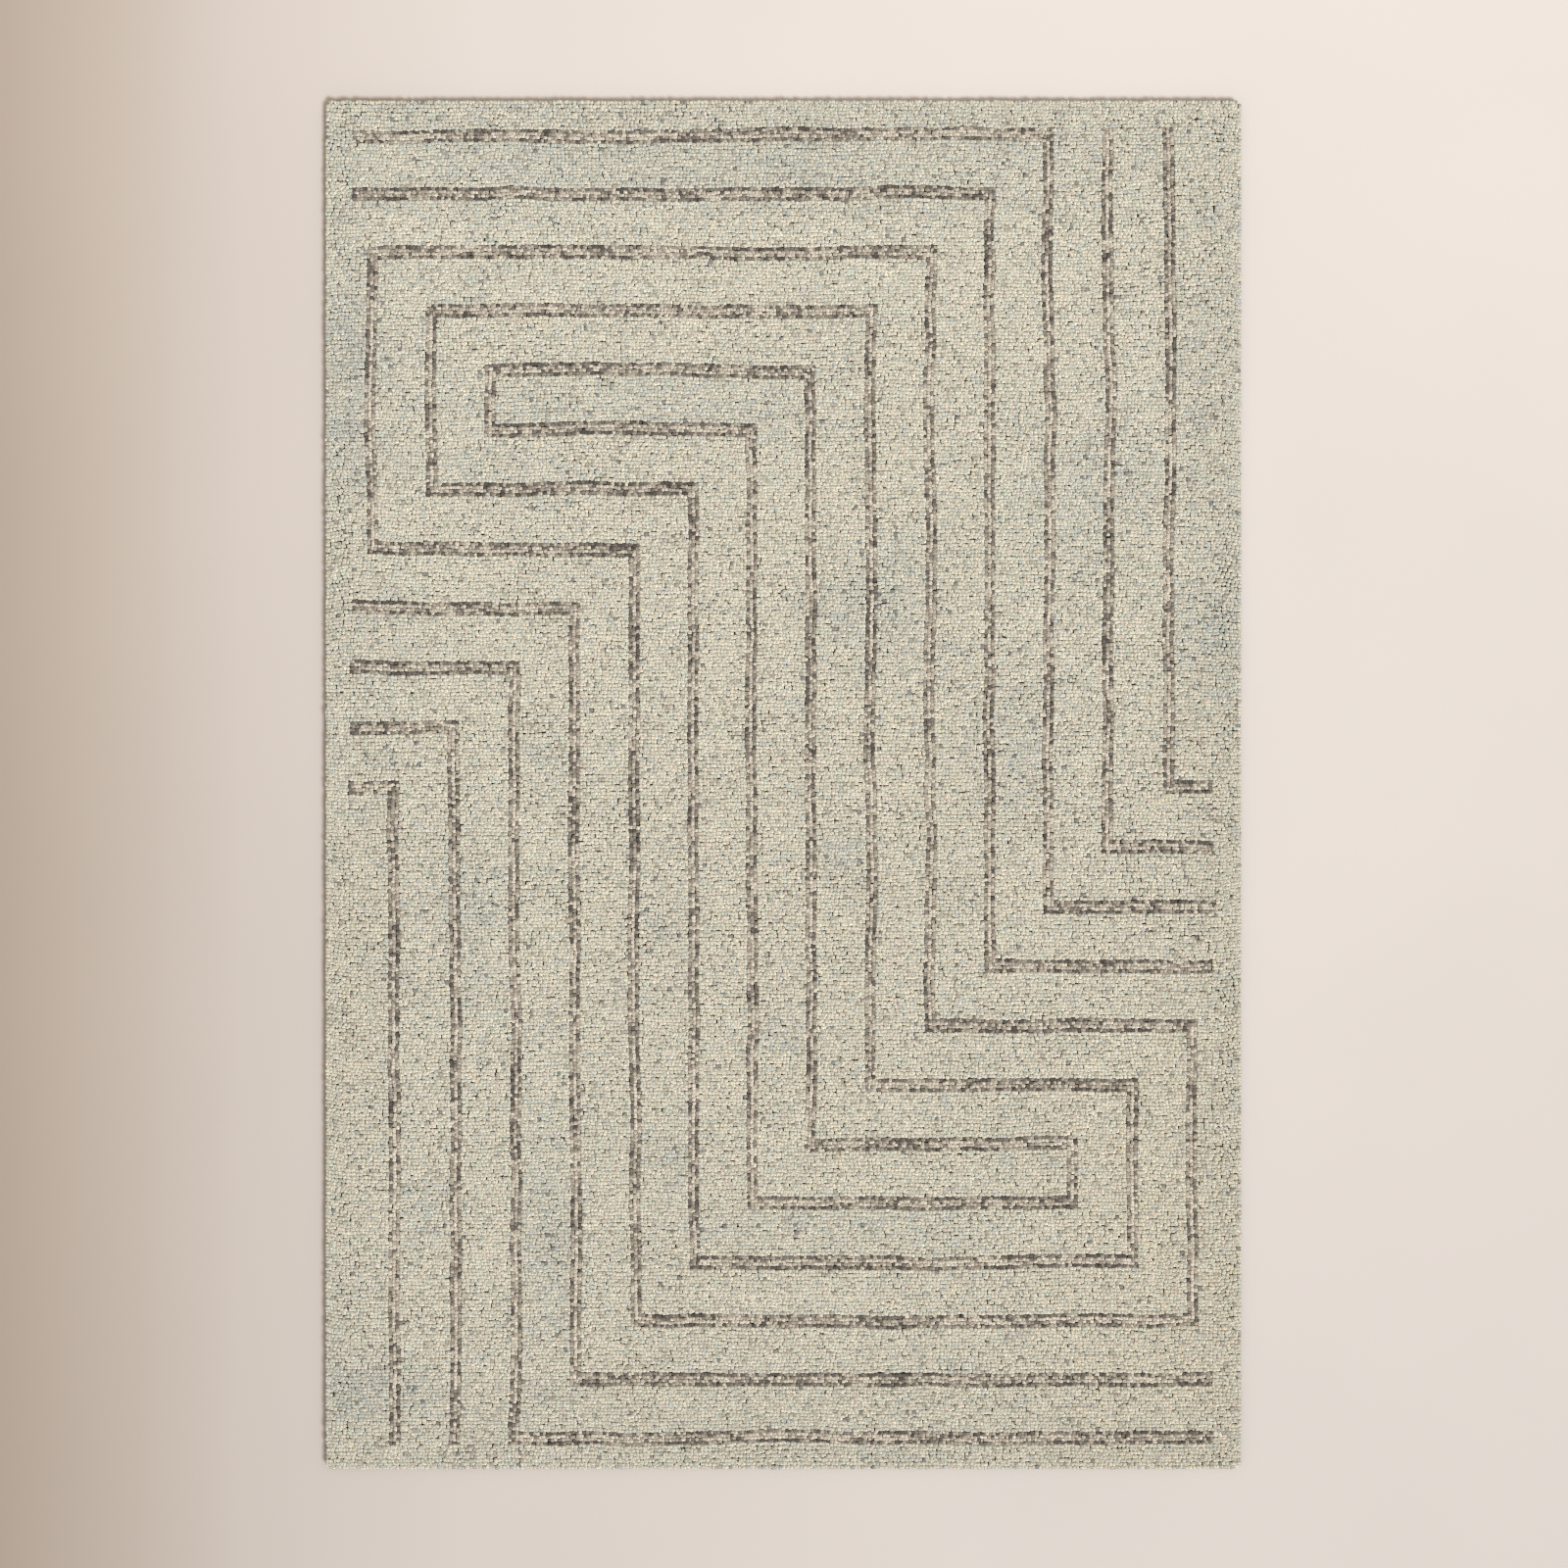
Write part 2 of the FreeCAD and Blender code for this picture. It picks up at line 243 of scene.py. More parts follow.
# How far apart the bands of a wave texture are at scale 1.
UNSCALED_BAND_PITCH = 2 * math.pi / 20
# The range that most of a noise texture's values lie in.
NOISE_LOW = 0.3
NOISE_HIGH = 0.7

# The painted shadow on the yarn down in the pile, and the tones that its plies and its fibres give
# it.
PAINTED_PILE_SHADOW = 0.85
PLY_SIZE = 1.7 * MILLIMETRE
PLY_SHADES = (0.74, 1.26)
FIBRE_SIZE = 0.7 * MILLIMETRE
FIBRE_SHADES = (0.86, 1.12)


class Nodes:
    """A material under construction: its node tree and shorthand for adding to it."""

    def __init__(self, name):
        self.material = bpy.data.materials.new(name)
        self.material.use_nodes = True
        self.tree = self.material.node_tree
        self.shader = self.tree.nodes["Principled BSDF"]

    def add(self, kind, **inputs):
        """Add a node. An input is a number, a colour or another node's output socket."""
        node = self.tree.nodes.new(kind)
        for name, value in inputs.items():
            self.connect(node.inputs[name.replace("_", " ")], value)
        return node

    def connect(self, socket, value):
        if isinstance(value, bpy.types.NodeSocket):
            self.tree.links.new(value, socket)
        else:
            socket.default_value = value

    def maths(self, operation, first, second):
        """One sum, product or other operation on two values."""
        node = self.add("ShaderNodeMath")
        node.operation = operation
        self.connect(node.inputs[0], first)
        self.connect(node.inputs[1], second)
        return node.outputs[0]

    def scaled(self, value, low, high, from_low=0.0, from_high=1.0):
        """Map a range of the value onto another one."""
        node = self.add("ShaderNodeMapRange", Value=value)
        node.inputs["From Min"].default_value = from_low
        node.inputs["From Max"].default_value = from_high
        node.inputs["To Min"].default_value = low
        node.inputs["To Max"].default_value = high
        return node.outputs["Result"]

    def spread(self, noise, low, high):
        """Map the usual range of a noise texture onto another one."""
        return self.scaled(noise, low, high, NOISE_LOW, NOISE_HIGH)

    def multiplied(self, colour, factor):
        """A colour times a value."""
        node = self.add("ShaderNodeVectorMath")
        node.operation = "SCALE"
        self.connect(node.inputs[0], colour)
        self.connect(node.inputs["Scale"], factor)
        return node.outputs[0]

    def blended(self, share, dark, light):
        """Two 8-bit colours mixed by a share of the lighter one."""
        node = self.add("ShaderNodeMix")
        node.data_type = "RGBA"
        self.connect(node.inputs["Factor"], share)
        self.connect(node.inputs["A"], (*linear(*dark), 1))
        self.connect(node.inputs["B"], (*linear(*light), 1))
        return node.outputs["Result"]

    def place(self):
        """A point's place on the object."""
        return self.add("ShaderNodeTexCoord").outputs["Object"]

    def noise(self, size, detail=2.0):
        """Cloudy noise whose blobs are about this size."""
        node = self.add(
            "ShaderNodeTexNoise", Scale=1 / size, Detail=detail, Vector=self.place()
        )
        return node.outputs["Fac"]

    def threads(self, direction, pitch, wander=1.0):
        """Rounded bands across X or Y, one for each thread of that pitch."""
        node = self.add("ShaderNodeTexWave", Distortion=wander, Detail=1.0, Vector=self.place())
        node.bands_direction = direction
        node.inputs["Scale"].default_value = UNSCALED_BAND_PITCH / pitch
        node.inputs["Detail Scale"].default_value = 2.0
        return node.outputs["Fac"]

    def bump(self, height, depth, strength):
        """Relief of that depth, from a height between 0 and 1."""
        node = self.add("ShaderNodeBump", Height=height, Distance=depth, Strength=strength)
        self.connect(self.shader.inputs["Normal"], node.outputs["Normal"])

    def finish(self, colour, roughness, sheen=0.0):
        """Connect the colour and the roughness, and return the finished matt material."""
        self.connect(self.shader.inputs["Base Color"], colour)
        self.connect(self.shader.inputs["Roughness"], roughness)
        self.shader.inputs["Sheen Weight"].default_value = sheen
        self.shader.inputs["Sheen Roughness"].default_value = 0.6
        self.shader.inputs["Specular IOR Level"].default_value = 0.25
        return self.material


def wool(name, sheen):
    """Looped wool: each loop has its own yarn colour, with painted shadow down in the pile, and
    shows the twisted plies and the fine fibres of its yarn."""
    nodes = Nodes(name)
    yarn = nodes.add("ShaderNodeAttribute")
    yarn.attribute_name = "yarn"
    loft = nodes.add("ShaderNodeAttribute")
    loft.attribute_name = "loft"
    # Painted shadow: the yarn gets darker towards the foot of each loop, by its height in the loop.
    painted_depth_shadow = nodes.scaled(loft.outputs["Fac"], PAINTED_PILE_SHADOW, 1.0, from_low=0.5)
    plies = nodes.noise(PLY_SIZE, detail=0.0)
    ply_shade = nodes.spread(plies, *PLY_SHADES)
    fibres = nodes.noise(FIBRE_SIZE, detail=3.0)
    fibre_shade = nodes.spread(fibres, *FIBRE_SHADES)
    # The painted shadow times the tones of the plies and the fibres.
    painted_shade_and_tone = nodes.maths("MULTIPLY", painted_depth_shadow, nodes.maths("MULTIPLY", ply_shade, fibre_shade))
    colour = nodes.multiplied(yarn.outputs["Color"], painted_shade_and_tone)
    nodes.bump(nodes.maths("ADD", plies, fibres), depth=0.5 * MILLIMETRE, strength=0.5)
    return nodes.finish(colour, nodes.scaled(fibres, low=0.8, high=1.0), sheen)


def woven(name, light, dark, pitch, wander=1.0, blotch=0.0):
    """Plain-woven cloth: threads of one pitch both ways, over and under, with uneven dye."""
    nodes = Nodes(name)
    warp = nodes.threads("X", pitch, wander)
    weft = nodes.threads("Y", pitch, wander)
    weave = nodes.maths("MULTIPLY", warp, weft)
    raised = nodes.maths("MAXIMUM", warp, weft)
    slub = nodes.noise(size=6 * MILLIMETRE, detail=3.0)
    patches = nodes.noise(size=0.12)
    height = nodes.maths("ADD", raised, nodes.maths("MULTIPLY", slub, 0.4))
    share = nodes.maths("ADD", weave, nodes.spread(patches, -blotch, blotch))
    colour = nodes.blended(share, dark, light)
    colour = nodes.multiplied(colour, nodes.scaled(slub, low=0.85, high=1.1))
    nodes.bump(height, depth=0.4 * MILLIMETRE, strength=0.8)
    return nodes.finish(colour, nodes.scaled(slub, low=0.75, high=0.95), sheen=0.15)


def twill(name, light, dark, pitch):
    """Twill tape: fine slanting ribs, crossed by the threads that run across them."""
    nodes = Nodes(name)
    ribs = nodes.threads("DIAGONAL", pitch, wander=0.4)
    threads = nodes.threads("X", pitch * 0.6, wander=0.4)
    slub = nodes.noise(size=4 * MILLIMETRE, detail=3.0)
    height = nodes.maths("ADD", ribs, nodes.maths("MULTIPLY", threads, 0.3))
    colour = nodes.blended(ribs, dark, light)
    colour = nodes.multiplied(colour, nodes.scaled(slub, low=0.88, high=1.08))
    nodes.bump(height, depth=0.3 * MILLIMETRE, strength=0.7)
    return nodes.finish(colour, nodes.scaled(slub, low=0.7, high=0.9), sheen=0.1)


def dried_latex(name, light, dark):
    """Latex spread by hand: mottled, with small bubbles and ridges."""
    nodes = Nodes(name)
    mottle = nodes.noise(size=18 * MILLIMETRE, detail=4.0)
    bubbles = nodes.noise(size=2.5 * MILLIMETRE)
    colour = nodes.blended(mottle, dark, light)
    nodes.bump(nodes.maths("ADD", mottle, bubbles), depth=0.6 * MILLIMETRE, strength=0.6)
    return nodes.finish(colour, nodes.scaled(mottle, low=0.4, high=0.6))


def studio_floor(name):
    """A matt pale floor with painted shade, gently darker towards its left and its near side."""
    nodes = Nodes(name)
    place = nodes.add("ShaderNodeSeparateXYZ", Vector=nodes.place())
    # Painted shadow across the floor: darkest on the left, fading out towards the right.
    share_across = nodes.scaled(place.outputs["X"], 0.0, 1.0, FLOOR_SHADOW_DARKEST_AT, FLOOR_SHADOW_END_AT)
    ramp = nodes.add("ShaderNodeValToRGB", Fac=share_across)
    stops = ramp.color_ramp.elements
    for number, (share, colour) in enumerate(FLOOR_PAINTED_SHADOW_TONES):
        stop = stops[number] if number < len(stops) else stops.new(share)
        stop.position = share
        stop.color = (*linear(*colour), 1)
    # Painted shade towards the near side and painted light towards the far side, times a faint
    # random cloud of tone.
    painted_falloff = nodes.scaled(place.outputs["Y"], FLOOR_NEAR_PAINTED_SHADE, FLOOR_FAR_PAINTED_LIGHT, from_low=-1.0)
    cloud = nodes.noise(size=0.5)
    painted_shade_and_tone = nodes.maths("MULTIPLY", painted_falloff, nodes.spread(cloud, low=0.985, high=1.015))
    painted_shade_and_tone = nodes.maths("MULTIPLY", painted_shade_and_tone, 1 / LIGHT_LEVEL)
    colour = nodes.multiplied(ramp.outputs["Color"], painted_shade_and_tone)
    return nodes.finish(colour, nodes.scaled(cloud, low=0.85, high=0.95))


# ---- meshes ----


def new_piece(name, points, corners, sides, material):
    """A smooth-shaded object. sides counts the corners of each face, and corners lists them all."""
    mesh = bpy.data.meshes.new(name)
    mesh.vertices.add(len(points))
    mesh.vertices.foreach_set("co", points.astype(np.float32).ravel())
    mesh.loops.add(len(corners))
    mesh.loops.foreach_set("vertex_index", corners.astype(np.int32))
    mesh.polygons.add(len(sides))
    starts = np.concatenate([[0], np.cumsum(sides)[:-1]])
    mesh.polygons.foreach_set("loop_start", starts.astype(np.int32))
    mesh.polygons.foreach_set("use_smooth", np.ones(len(sides), dtype=bool))
    mesh.update(calc_edges=True)
    mesh.materials.append(material)
    return put_in_scene(name, mesh)


def settle(points):
    """The points moved up by as much as the settled rug stands off the floor there."""
    settled = points.copy()
    settled[:, 2] += lift(points[:, 0], points[:, 1])
    return settled


# ---- one loop of yarn, one unit in half length, half width and height ----

# The loop's outline seen from above: a rounded box, widest in the middle of its long sides.
LOOP_OUTLINE = np.array([(1, -0.74), (1, 0.74), (0, 1), (-1, 0.74), (-1, -0.74), (0, -1)])
LOOP_SIDES = len(LOOP_OUTLINE)
FOOT_SPREAD = 0.92
SHOULDER_HEIGHT = 0.76
CROWN_REACH = 0.4


def loop_points():
    """The points of the foot, of the shoulder, where the loop is widest, and of the crown's ends."""
    foot = np.column_stack([LOOP_OUTLINE * FOOT_SPREAD, np.zeros(LOOP_SIDES)])
    shoulder = np.column_stack([LOOP_OUTLINE, np.full(LOOP_SIDES, SHOULDER_HEIGHT)])
    crown = np.array([[CROWN_REACH, 0, 1], [-CROWN_REACH, 0, 1]])
    return np.concatenate([foot, shoulder, crown])


def loop_faces():
    """The sides, the sloping faces up to the crown, and the foot."""
    foot = list(range(LOOP_SIDES))
    shoulder = [corner + LOOP_SIDES for corner in foot]
    front_end, back_end = 2 * LOOP_SIDES, 2 * LOOP_SIDES + 1
    faces = []
    for side in range(LOOP_SIDES):
        following = (side + 1) % LOOP_SIDES
        faces.append([foot[side], foot[following], shoulder[following], shoulder[side]])
    # The end of the crown that each corner of the outline slopes up to.
    nearest = [front_end, front_end, back_end, back_end, back_end, front_end]
    for side in range(LOOP_SIDES):
        following = (side + 1) % LOOP_SIDES
        ends = list(dict.fromkeys([nearest[following], nearest[side]]))
        faces.append([shoulder[side], shoulder[following], *ends])
    faces.append(foot[::-1])
    return faces


LOOP_POINTS = loop_points()
LOOP_FACES = loop_faces()
LOOP_CORNERS = np.concatenate([np.array(face) for face in LOOP_FACES])
LOOP_FACE_SIDES = np.array([len(face) for face in LOOP_FACES])

# How far out the foot, the shoulder and the crown lie in the loop's own square of the atlas.
ATLAS_FOOT = 0.43
ATLAS_SHOULDER = 0.31
ATLAS_SOLE = 0.04


def loop_atlas():
    """Where each corner of a loop's faces lies in the loop's own square of its texture atlas."""
    reach = [ATLAS_FOOT / FOOT_SPREAD, ATLAS_SHOULDER]
    spread = np.repeat(reach, [LOOP_SIDES, len(LOOP_POINTS) - LOOP_SIDES])
    flat = LOOP_POINTS[:, :2] * spread[:, None] + 0.5
    places = flat[LOOP_CORNERS]
    sole = LOOP_POINTS[LOOP_FACES[-1], :2] * ATLAS_SOLE / FOOT_SPREAD + 1.2 * ATLAS_SOLE
    places[-LOOP_SIDES:] = sole
    return places


LOOP_ATLAS = loop_atlas()


def grow_loops(name, loops, material):
    """One object that holds a run of loops. loops has an entry for each loop under every key."""
    count = len(loops["x"])
    cosine = np.cos(loops["turn"])[:, None]
    sine = np.sin(loops["turn"])[:, None]
    along = LOOP_POINTS[:, 0] * loops["half_length"][:, None]
    across = LOOP_POINTS[:, 1] * loops["half_width"][:, None]
    up = LOOP_POINTS[:, 2] * loops["height"][:, None]
    x = loops["x"][:, None] + along * cosine - across * sine + up * loops["lean_x"][:, None]
    y = loops["y"][:, None] + along * sine + across * cosine + up * loops["lean_y"][:, None]
    z = loops["base"][:, None] + up
    points = np.stack([x, y, z], axis=-1).reshape(-1, 3)
    corners = (np.arange(count)[:, None] * len(LOOP_POINTS) + LOOP_CORNERS).ravel()
    sides = np.tile(LOOP_FACE_SIDES, count)
    piece = new_piece(name, points, corners, sides, material)
    colours = np.ones((count, len(LOOP_POINTS), 4), dtype=np.float32)
    colours[:, :, :3] = loops["colour"][:, None, :]
    yarn = piece.data.attributes.new("yarn", "FLOAT_COLOR", "POINT")
    yarn.data.foreach_set("color", colours.ravel())
    # Each point's height in its loop, from which the wool material paints shadow down in the pile.
    loft = piece.data.attributes.new("loft", "FLOAT", "POINT")
    loft.data.foreach_set("value", np.tile(LOOP_POINTS[:, 2], count).astype(np.float32))
    squares = math.ceil(math.sqrt(count))
    number = np.arange(count)
    corner = np.stack([number % squares, number // squares], axis=1)[:, None, :]
    places = (corner + LOOP_ATLAS) / squares
    atlas = piece.data.uv_layers.new(name="OFBake")
    atlas.data.foreach_set("uv", places.astype(np.float32).ravel())
    return piece


# ---- the grid of loops ----

# Faces this close to a node's highest point belong to its top.
TOP_TOLERANCE = 0.1 * MILLIMETRE
# How many cells to each side are looked at to tell which way a line runs.
RUN_REACH = 6
# The number of loops in a row, as shares of what the pitch gives.
ROW_FULLNESS = (0.95, 1.07)


def pile_edges(axis):
    """Every place on one axis where a run of pile starts or stops."""
    places = [cad_low[axis], cad_high[axis]]
    for name in PILE_NODES:
        if name != "border_pile":
            places += [vertex.co[axis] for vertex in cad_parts[name].data.vertices]
    return np.unique(np.round(places, 5))


def grid_lines(axis):
    """The edges of the grid's cells: whole cells of about the loop pitch from edge to edge."""
    edges = pile_edges(axis)
    lines = [edges[:1]]
    for start, end in zip(edges, edges[1:]):
        cells = max(1, round((end - start) / LOOP_PITCH))
        lines.append(np.linspace(start, end, cells + 1)[1:])
    return np.concatenate(lines)


def inside(node, x, y):
    """Which of these places lie under the top faces of a node."""
    mesh = node.data
    mesh.calc_loop_triangles()
    corners = np.array([vertex.co for vertex in mesh.vertices])
    triangles = corners[np.array([triangle.vertices for triangle in mesh.loop_triangles])]
    top = corners[:, 2].max()
    found = np.zeros(x.shape, dtype=bool)
    for a, b, c in triangles[(triangles[:, :, 2] > top - TOP_TOLERANCE).all(axis=1)]:
        sides = [
            (q[0] - p[0]) * (y - p[1]) - (q[1] - p[1]) * (x - p[0])
            for p, q in ((a, b), (b, c), (c, a))
        ]
        found |= np.minimum.reduce(sides) >= 0
        found |= np.maximum.reduce(sides) <= 0
    return found


def neighbours(owner, column_step, row_step):
    """The owner of each cell's neighbour that many columns and rows away."""
    columns, rows = owner.shape
    reach = max(abs(column_step), abs(row_step))
    padded = np.pad(owner, reach, constant_values=-1)
    first_column = reach + column_step
    first_row = reach + row_step
    return padded[first_column:first_column + columns, first_row:first_row + rows]


def map_grid():
    """The grid's lines both ways, and for each cell the run of pile that it belongs to, whether it
    lies on that run's side, and whether it is in an upright part of a line."""
    lines_x = grid_lines(0)
    lines_y = grid_lines(1)
    x, y = np.meshgrid(
        (lines_x[1:] + lines_x[:-1]) / 2, (lines_y[1:] + lines_y[:-1]) / 2, indexing="ij"
    )
    owner = np.full(x.shape, -1)
    for number, name in enumerate(PILE_NODES):
        owner[inside(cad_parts[name], x, y)] = number
    around = [(i, j) for i in (-1, 0, 1) for j in (-1, 0, 1) if (i, j) != (0, 0)]
    on_side = np.any([neighbours(owner, i, j) != owner for i, j in around], axis=0)
    steps = range(-RUN_REACH, RUN_REACH + 1)
    run_x = np.sum([neighbours(owner, step, 0) == owner for step in steps], axis=0)
    run_y = np.sum([neighbours(owner, 0, step) == owner for step in steps], axis=0)
    upright = (owner >= 0) & (owner < len(LINE_NODES)) & (run_y > run_x)
    return lines_x, lines_y, owner, on_side, upright


def stretches(values):
    """The start, the end and the value of every stretch of equal values that aren't negative."""
    changes = np.flatnonzero(np.diff(values)) + 1
    starts = [0, *changes]
    ends = [*changes, len(values)]
    return [(a, b, values[a]) for a, b in zip(starts, ends) if values[a] >= 0]


def stitch(start, end, rng):
    """The middles and lengths of the loops of one row of stitches between two ends."""
    count = max(1, round((end - start) / LOOP_PITCH * rng.uniform(*ROW_FULLNESS)))
    edges = np.linspace(start, end, count + 1)
    offset = rng.uniform(-ROW_OFFSET, ROW_OFFSET)
    edges[1:-1] += LOOP_PITCH * (offset + rng.normal(0, UNEVENNESS, count - 1))
    return (edges[1:] + edges[:-1]) / 2, np.diff(edges)


def lay_out_loops():
    """Every loop's middle, length, width and run of pile. Rows of stitches run across the rug,
    except in the upright parts of the lines, where they run along it."""
    lines_x, lines_y, owner, on_side, upright = map_grid()
    rng = np.random.default_rng(10)
    across_rows = np.where(upright, -1, owner).T
    upright_rows = np.where(upright, owner, -1)
    found = {"x": [], "y": [], "length": [], "width": [], "owner": [], "upright": []}
    for runs_up, rows, row_lines, stitch_lines in (
        (False, across_rows, lines_y, lines_x),
        (True, upright_rows, lines_x, lines_y),
    ):
        for cells, low, high in zip(rows, row_lines, row_lines[1:]):
            for start, end, node in stretches(cells):
                places, lengths = stitch(stitch_lines[start], stitch_lines[end], rng)
                middle = (low + high) / 2
                found["x"].append(np.full(len(places), middle) if runs_up else places)
                found["y"].append(places if runs_up else np.full(len(places), middle))
                found["length"].append(lengths)
                found["width"].append(np.full(len(places), high - low))
                found["owner"].append(np.full(len(places), node))
                found["upright"].append(np.full(len(places), runs_up))
    loops = {key: np.concatenate(values) for key, values in found.items()}
    column = np.searchsorted(lines_x, loops["x"]) - 1
    row = np.searchsorted(lines_y, loops["y"]) - 1
    loops["on_side"] = on_side[column, row]
    return loops


# ---- the shape of every loop ----

# The pattern as it was laid out by hand: across the rug its lines crowd towards the middle, along
# the rug they spread from it, and the far rows climb to the right.
CROWDING = 2.5 * MILLIMETRE
SPREADING = 3.0 * MILLIMETRE
FAR_CLIMB = 5.0 * MILLIMETRE
FAR_CLIMB_REACH = 0.12
# How far the tufter's hand puts a loop from its place in the pattern.
SLOW_WANDER = 2.6 * MILLIMETRE
QUICK_WANDER = 1.6 * MILLIMETRE
BORDER_WANDER = 1.1 * MILLIMETRE
JITTER = 0.32 * MILLIMETRE
# The lengths over which the slow, the quick and the border's wander change.
SLOW_STEP = 0.2
QUICK_STEP = 0.05
BORDER_STEP = 0.018
# Loops this near the rug's edge keep to it.
EDGE_CALM = 25 * MILLIMETRE
# Half a loop's size as shares of its cell: over a half, because the loops press together.
LENGTH_FILL = 0.58
WIDTH_FILL = 0.62
# How much the loops differ in size, in turn and in lean.
LENGTH_SPREAD = (0.93, 1.07)
WIDTH_SPREAD = (0.92, 1.08)
HEIGHT_SPREAD = (0.93, 1.0)
TURN_SPREAD = 0.15
LEAN_SPREAD = 0.08
# How far whole groups of loops turn in the border.
BORDER_TURN = 0.6
BORDER_TURN_STEP = 0.02


def wander(x, y, in_border, seed):
    """How far the hand moves the loops at these places along one axis."""
    moved = SLOW_WANDER * smooth_noise(x, y, SLOW_STEP, SLOW_STEP, seed)
    moved += QUICK_WANDER * smooth_noise(x, y, QUICK_STEP, QUICK_STEP, seed + 1)
    moved += BORDER_WANDER * in_border * smooth_noise(x, y, BORDER_STEP, BORDER_STEP, seed + 2)
    return moved


def shape_loops(grid):
    """Where each loop stands, how big it is and which way it runs."""
    x, y = grid["x"], grid["y"]
    rng = np.random.default_rng(20)
    count = x.shape
    is_line = grid["owner"] < len(LINE_NODES)
    in_border = grid["owner"] == PILE_NODES.index("border_pile")
    half_x, half_y = RUG_WIDTH / 2, RUG_LENGTH / 2
    calm = np.clip(np.minimum(half_x - np.abs(x), half_y - np.abs(y)) / EDGE_CALM, 0, 1)
    drift_x = -CROWDING * np.sin(math.pi * x / half_x)
    climb = FAR_CLIMB * x / half_x * np.exp((y - half_y) / FAR_CLIMB_REACH)
    drift_y = SPREADING * np.sin(math.pi * y / half_y) + climb
    place_x = x + calm * (drift_x + wander(x, y, in_border, seed=30)) + rng.normal(0, JITTER, count)
    place_y = y + calm * (drift_y + wander(x, y, in_border, seed=40)) + rng.normal(0, JITTER, count)
    turn = np.where(grid["upright"], math.pi / 2, 0.0) + rng.normal(0, TURN_SPREAD, count)
    group_turn = smooth_noise(x, y, BORDER_TURN_STEP, BORDER_TURN_STEP, seed=50)
    turn += in_border * BORDER_TURN * group_turn
    half_length = LENGTH_FILL * grid["length"] * rng.uniform(*LENGTH_SPREAD, count)
    half_width = WIDTH_FILL * grid["width"] * rng.uniform(*WIDTH_SPREAD, count)
    top = np.where(is_line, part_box(LINE_NODES[0])[1].z, PILE_TOP)
    reach_x = half_x - half_length
    reach_y = half_y - half_width
    return {
        "x": np.clip(place_x, -reach_x, reach_x),
        "y": np.clip(place_y, -reach_y, reach_y),
        "turn": turn,
        "half_length": half_length,
        "half_width": half_width,
        "height": (top - PILE_BASE) * rng.uniform(*HEIGHT_SPREAD, count),
        "lean_x": rng.normal(0, LEAN_SPREAD, count),
        "lean_y": rng.normal(0, LEAN_SPREAD, count),
        "base": PILE_BASE + lift(x, y),
    }


# ---- the colour of every loop ----

# The yarns of the pale pile, with their shares in plain and in cool patches.
PALE_YARNS = {
    "cream": ((225, 219, 200), 0.46, 0.32),
    "sage": ((216, 216, 197), 0.20, 0.22),
    "grey_blue": ((210, 210, 198), 0.11, 0.26),
    "sand": ((222, 213, 193), 0.11, 0.06),
    "straw": ((225, 218, 193), 0.05, 0.03),
    "stone": ((192, 187, 169), 0.07, 0.09),
    "slate": ((148, 147, 138), 0.005, 0.018),
}
# The yarns of the lines, from the darkest to the palest.
LINE_YARNS = [(94, 88, 80), (136, 128, 116), (184, 174, 157), (214, 205, 187), (226, 217, 199)]

# How pale the yarn is on average along a line's sides and between them, on a scale from the darkest
# to the palest, and how much paler the lines that run along the rug are.
SIDE_PALENESS = 0.29
MIDDLE_PALENESS = 0.61
UPRIGHT_PALER = 0.10
# Strands and longer stretches of one shade in a line: their sizes across and along the rug, and how
# much they differ in paleness. Last, how much neighbouring loops differ.
UPRIGHT_STRAND = (0.0049, 0.03)
LEVEL_STRAND = (0.03, 0.0044)
STRAND_SPREAD = 0.2
UPRIGHT_STRETCH = (0.05, 0.07)
LEVEL_STRETCH = (0.07, 0.05)
STRETCH_SPREAD = 0.07
YARN_SPREAD = 0.24

# Cool, greyish patches of the pale pile: across and along the rug from its middle as shares of its
# width and length, their spread as the same shares, and their strength.
COOL_PATCHES = [
    ((-0.48, 0.30), (0.03, 0.06), 1.0),
    ((-0.14, 0.28), (0.16, 0.02), 0.7),
    ((-0.14, 0.46), (0.32, 0.03), 0.8),
    ((-0.30, 0.23), (0.10, 0.02), 0.5),
    ((0.47, 0.30), (0.05, 0.14), 0.4),
    ((0.47, 0.11), (0.03, 0.03), 0.9),
    ((0.34, 0.21), (0.05, 0.04), 0.7),
    ((0.10, 0.13), (0.04, 0.03), 1.0),
    ((0.26, 0.03), (0.03, 0.03), 0.9),
    ((0.06, -0.05), (0.02, 0.01), 1.0),
    ((0.00, -0.18), (0.02, 0.01), 1.0),
    ((-0.34, -0.10), (0.02, 0.03), 0.8),
    ((-0.26, 0.02), (0.02, 0.02), 0.7),
    ((-0.26, -0.33), (0.02, 0.05), 1.0),
    ((-0.39, -0.31), (0.02, 0.02), 0.8),
    ((-0.13, -0.27), (0.02, 0.03), 0.7),
    ((-0.14, -0.10), (0.02, 0.02), 0.6),
    ((0.10, -0.32), (0.18, 0.01), 0.5),
    ((-0.45, -0.44), (0.04, 0.02), 0.9),
]
# Warm, sandy patches, given in the same way.
WARM_PATCHES = [
    ((0.42, -0.36), (0.10, 0.16), 0.9),
    ((0.46, 0.03), (0.04, 0.03), 0.7),
    ((-0.48, -0.15), (0.03, 0.10), 0.7),
    ((-0.02, 0.00), (0.20, 0.30), 0.3),
]
# The strength of the cool patches, and the strength and size of the clouds of cool yarn between
# them and of the streaks in places that are cooler than COOL_PLACE.
COOL_STRENGTH = 0.8
COOL_CLOUD = 0.22
COOL_CLOUD_SIZE = (0.07, 0.03)
COOL_STREAK = 0.25
COOL_STREAK_SIZE = (0.02, 0.006)
COOL_PLACE = 0.2
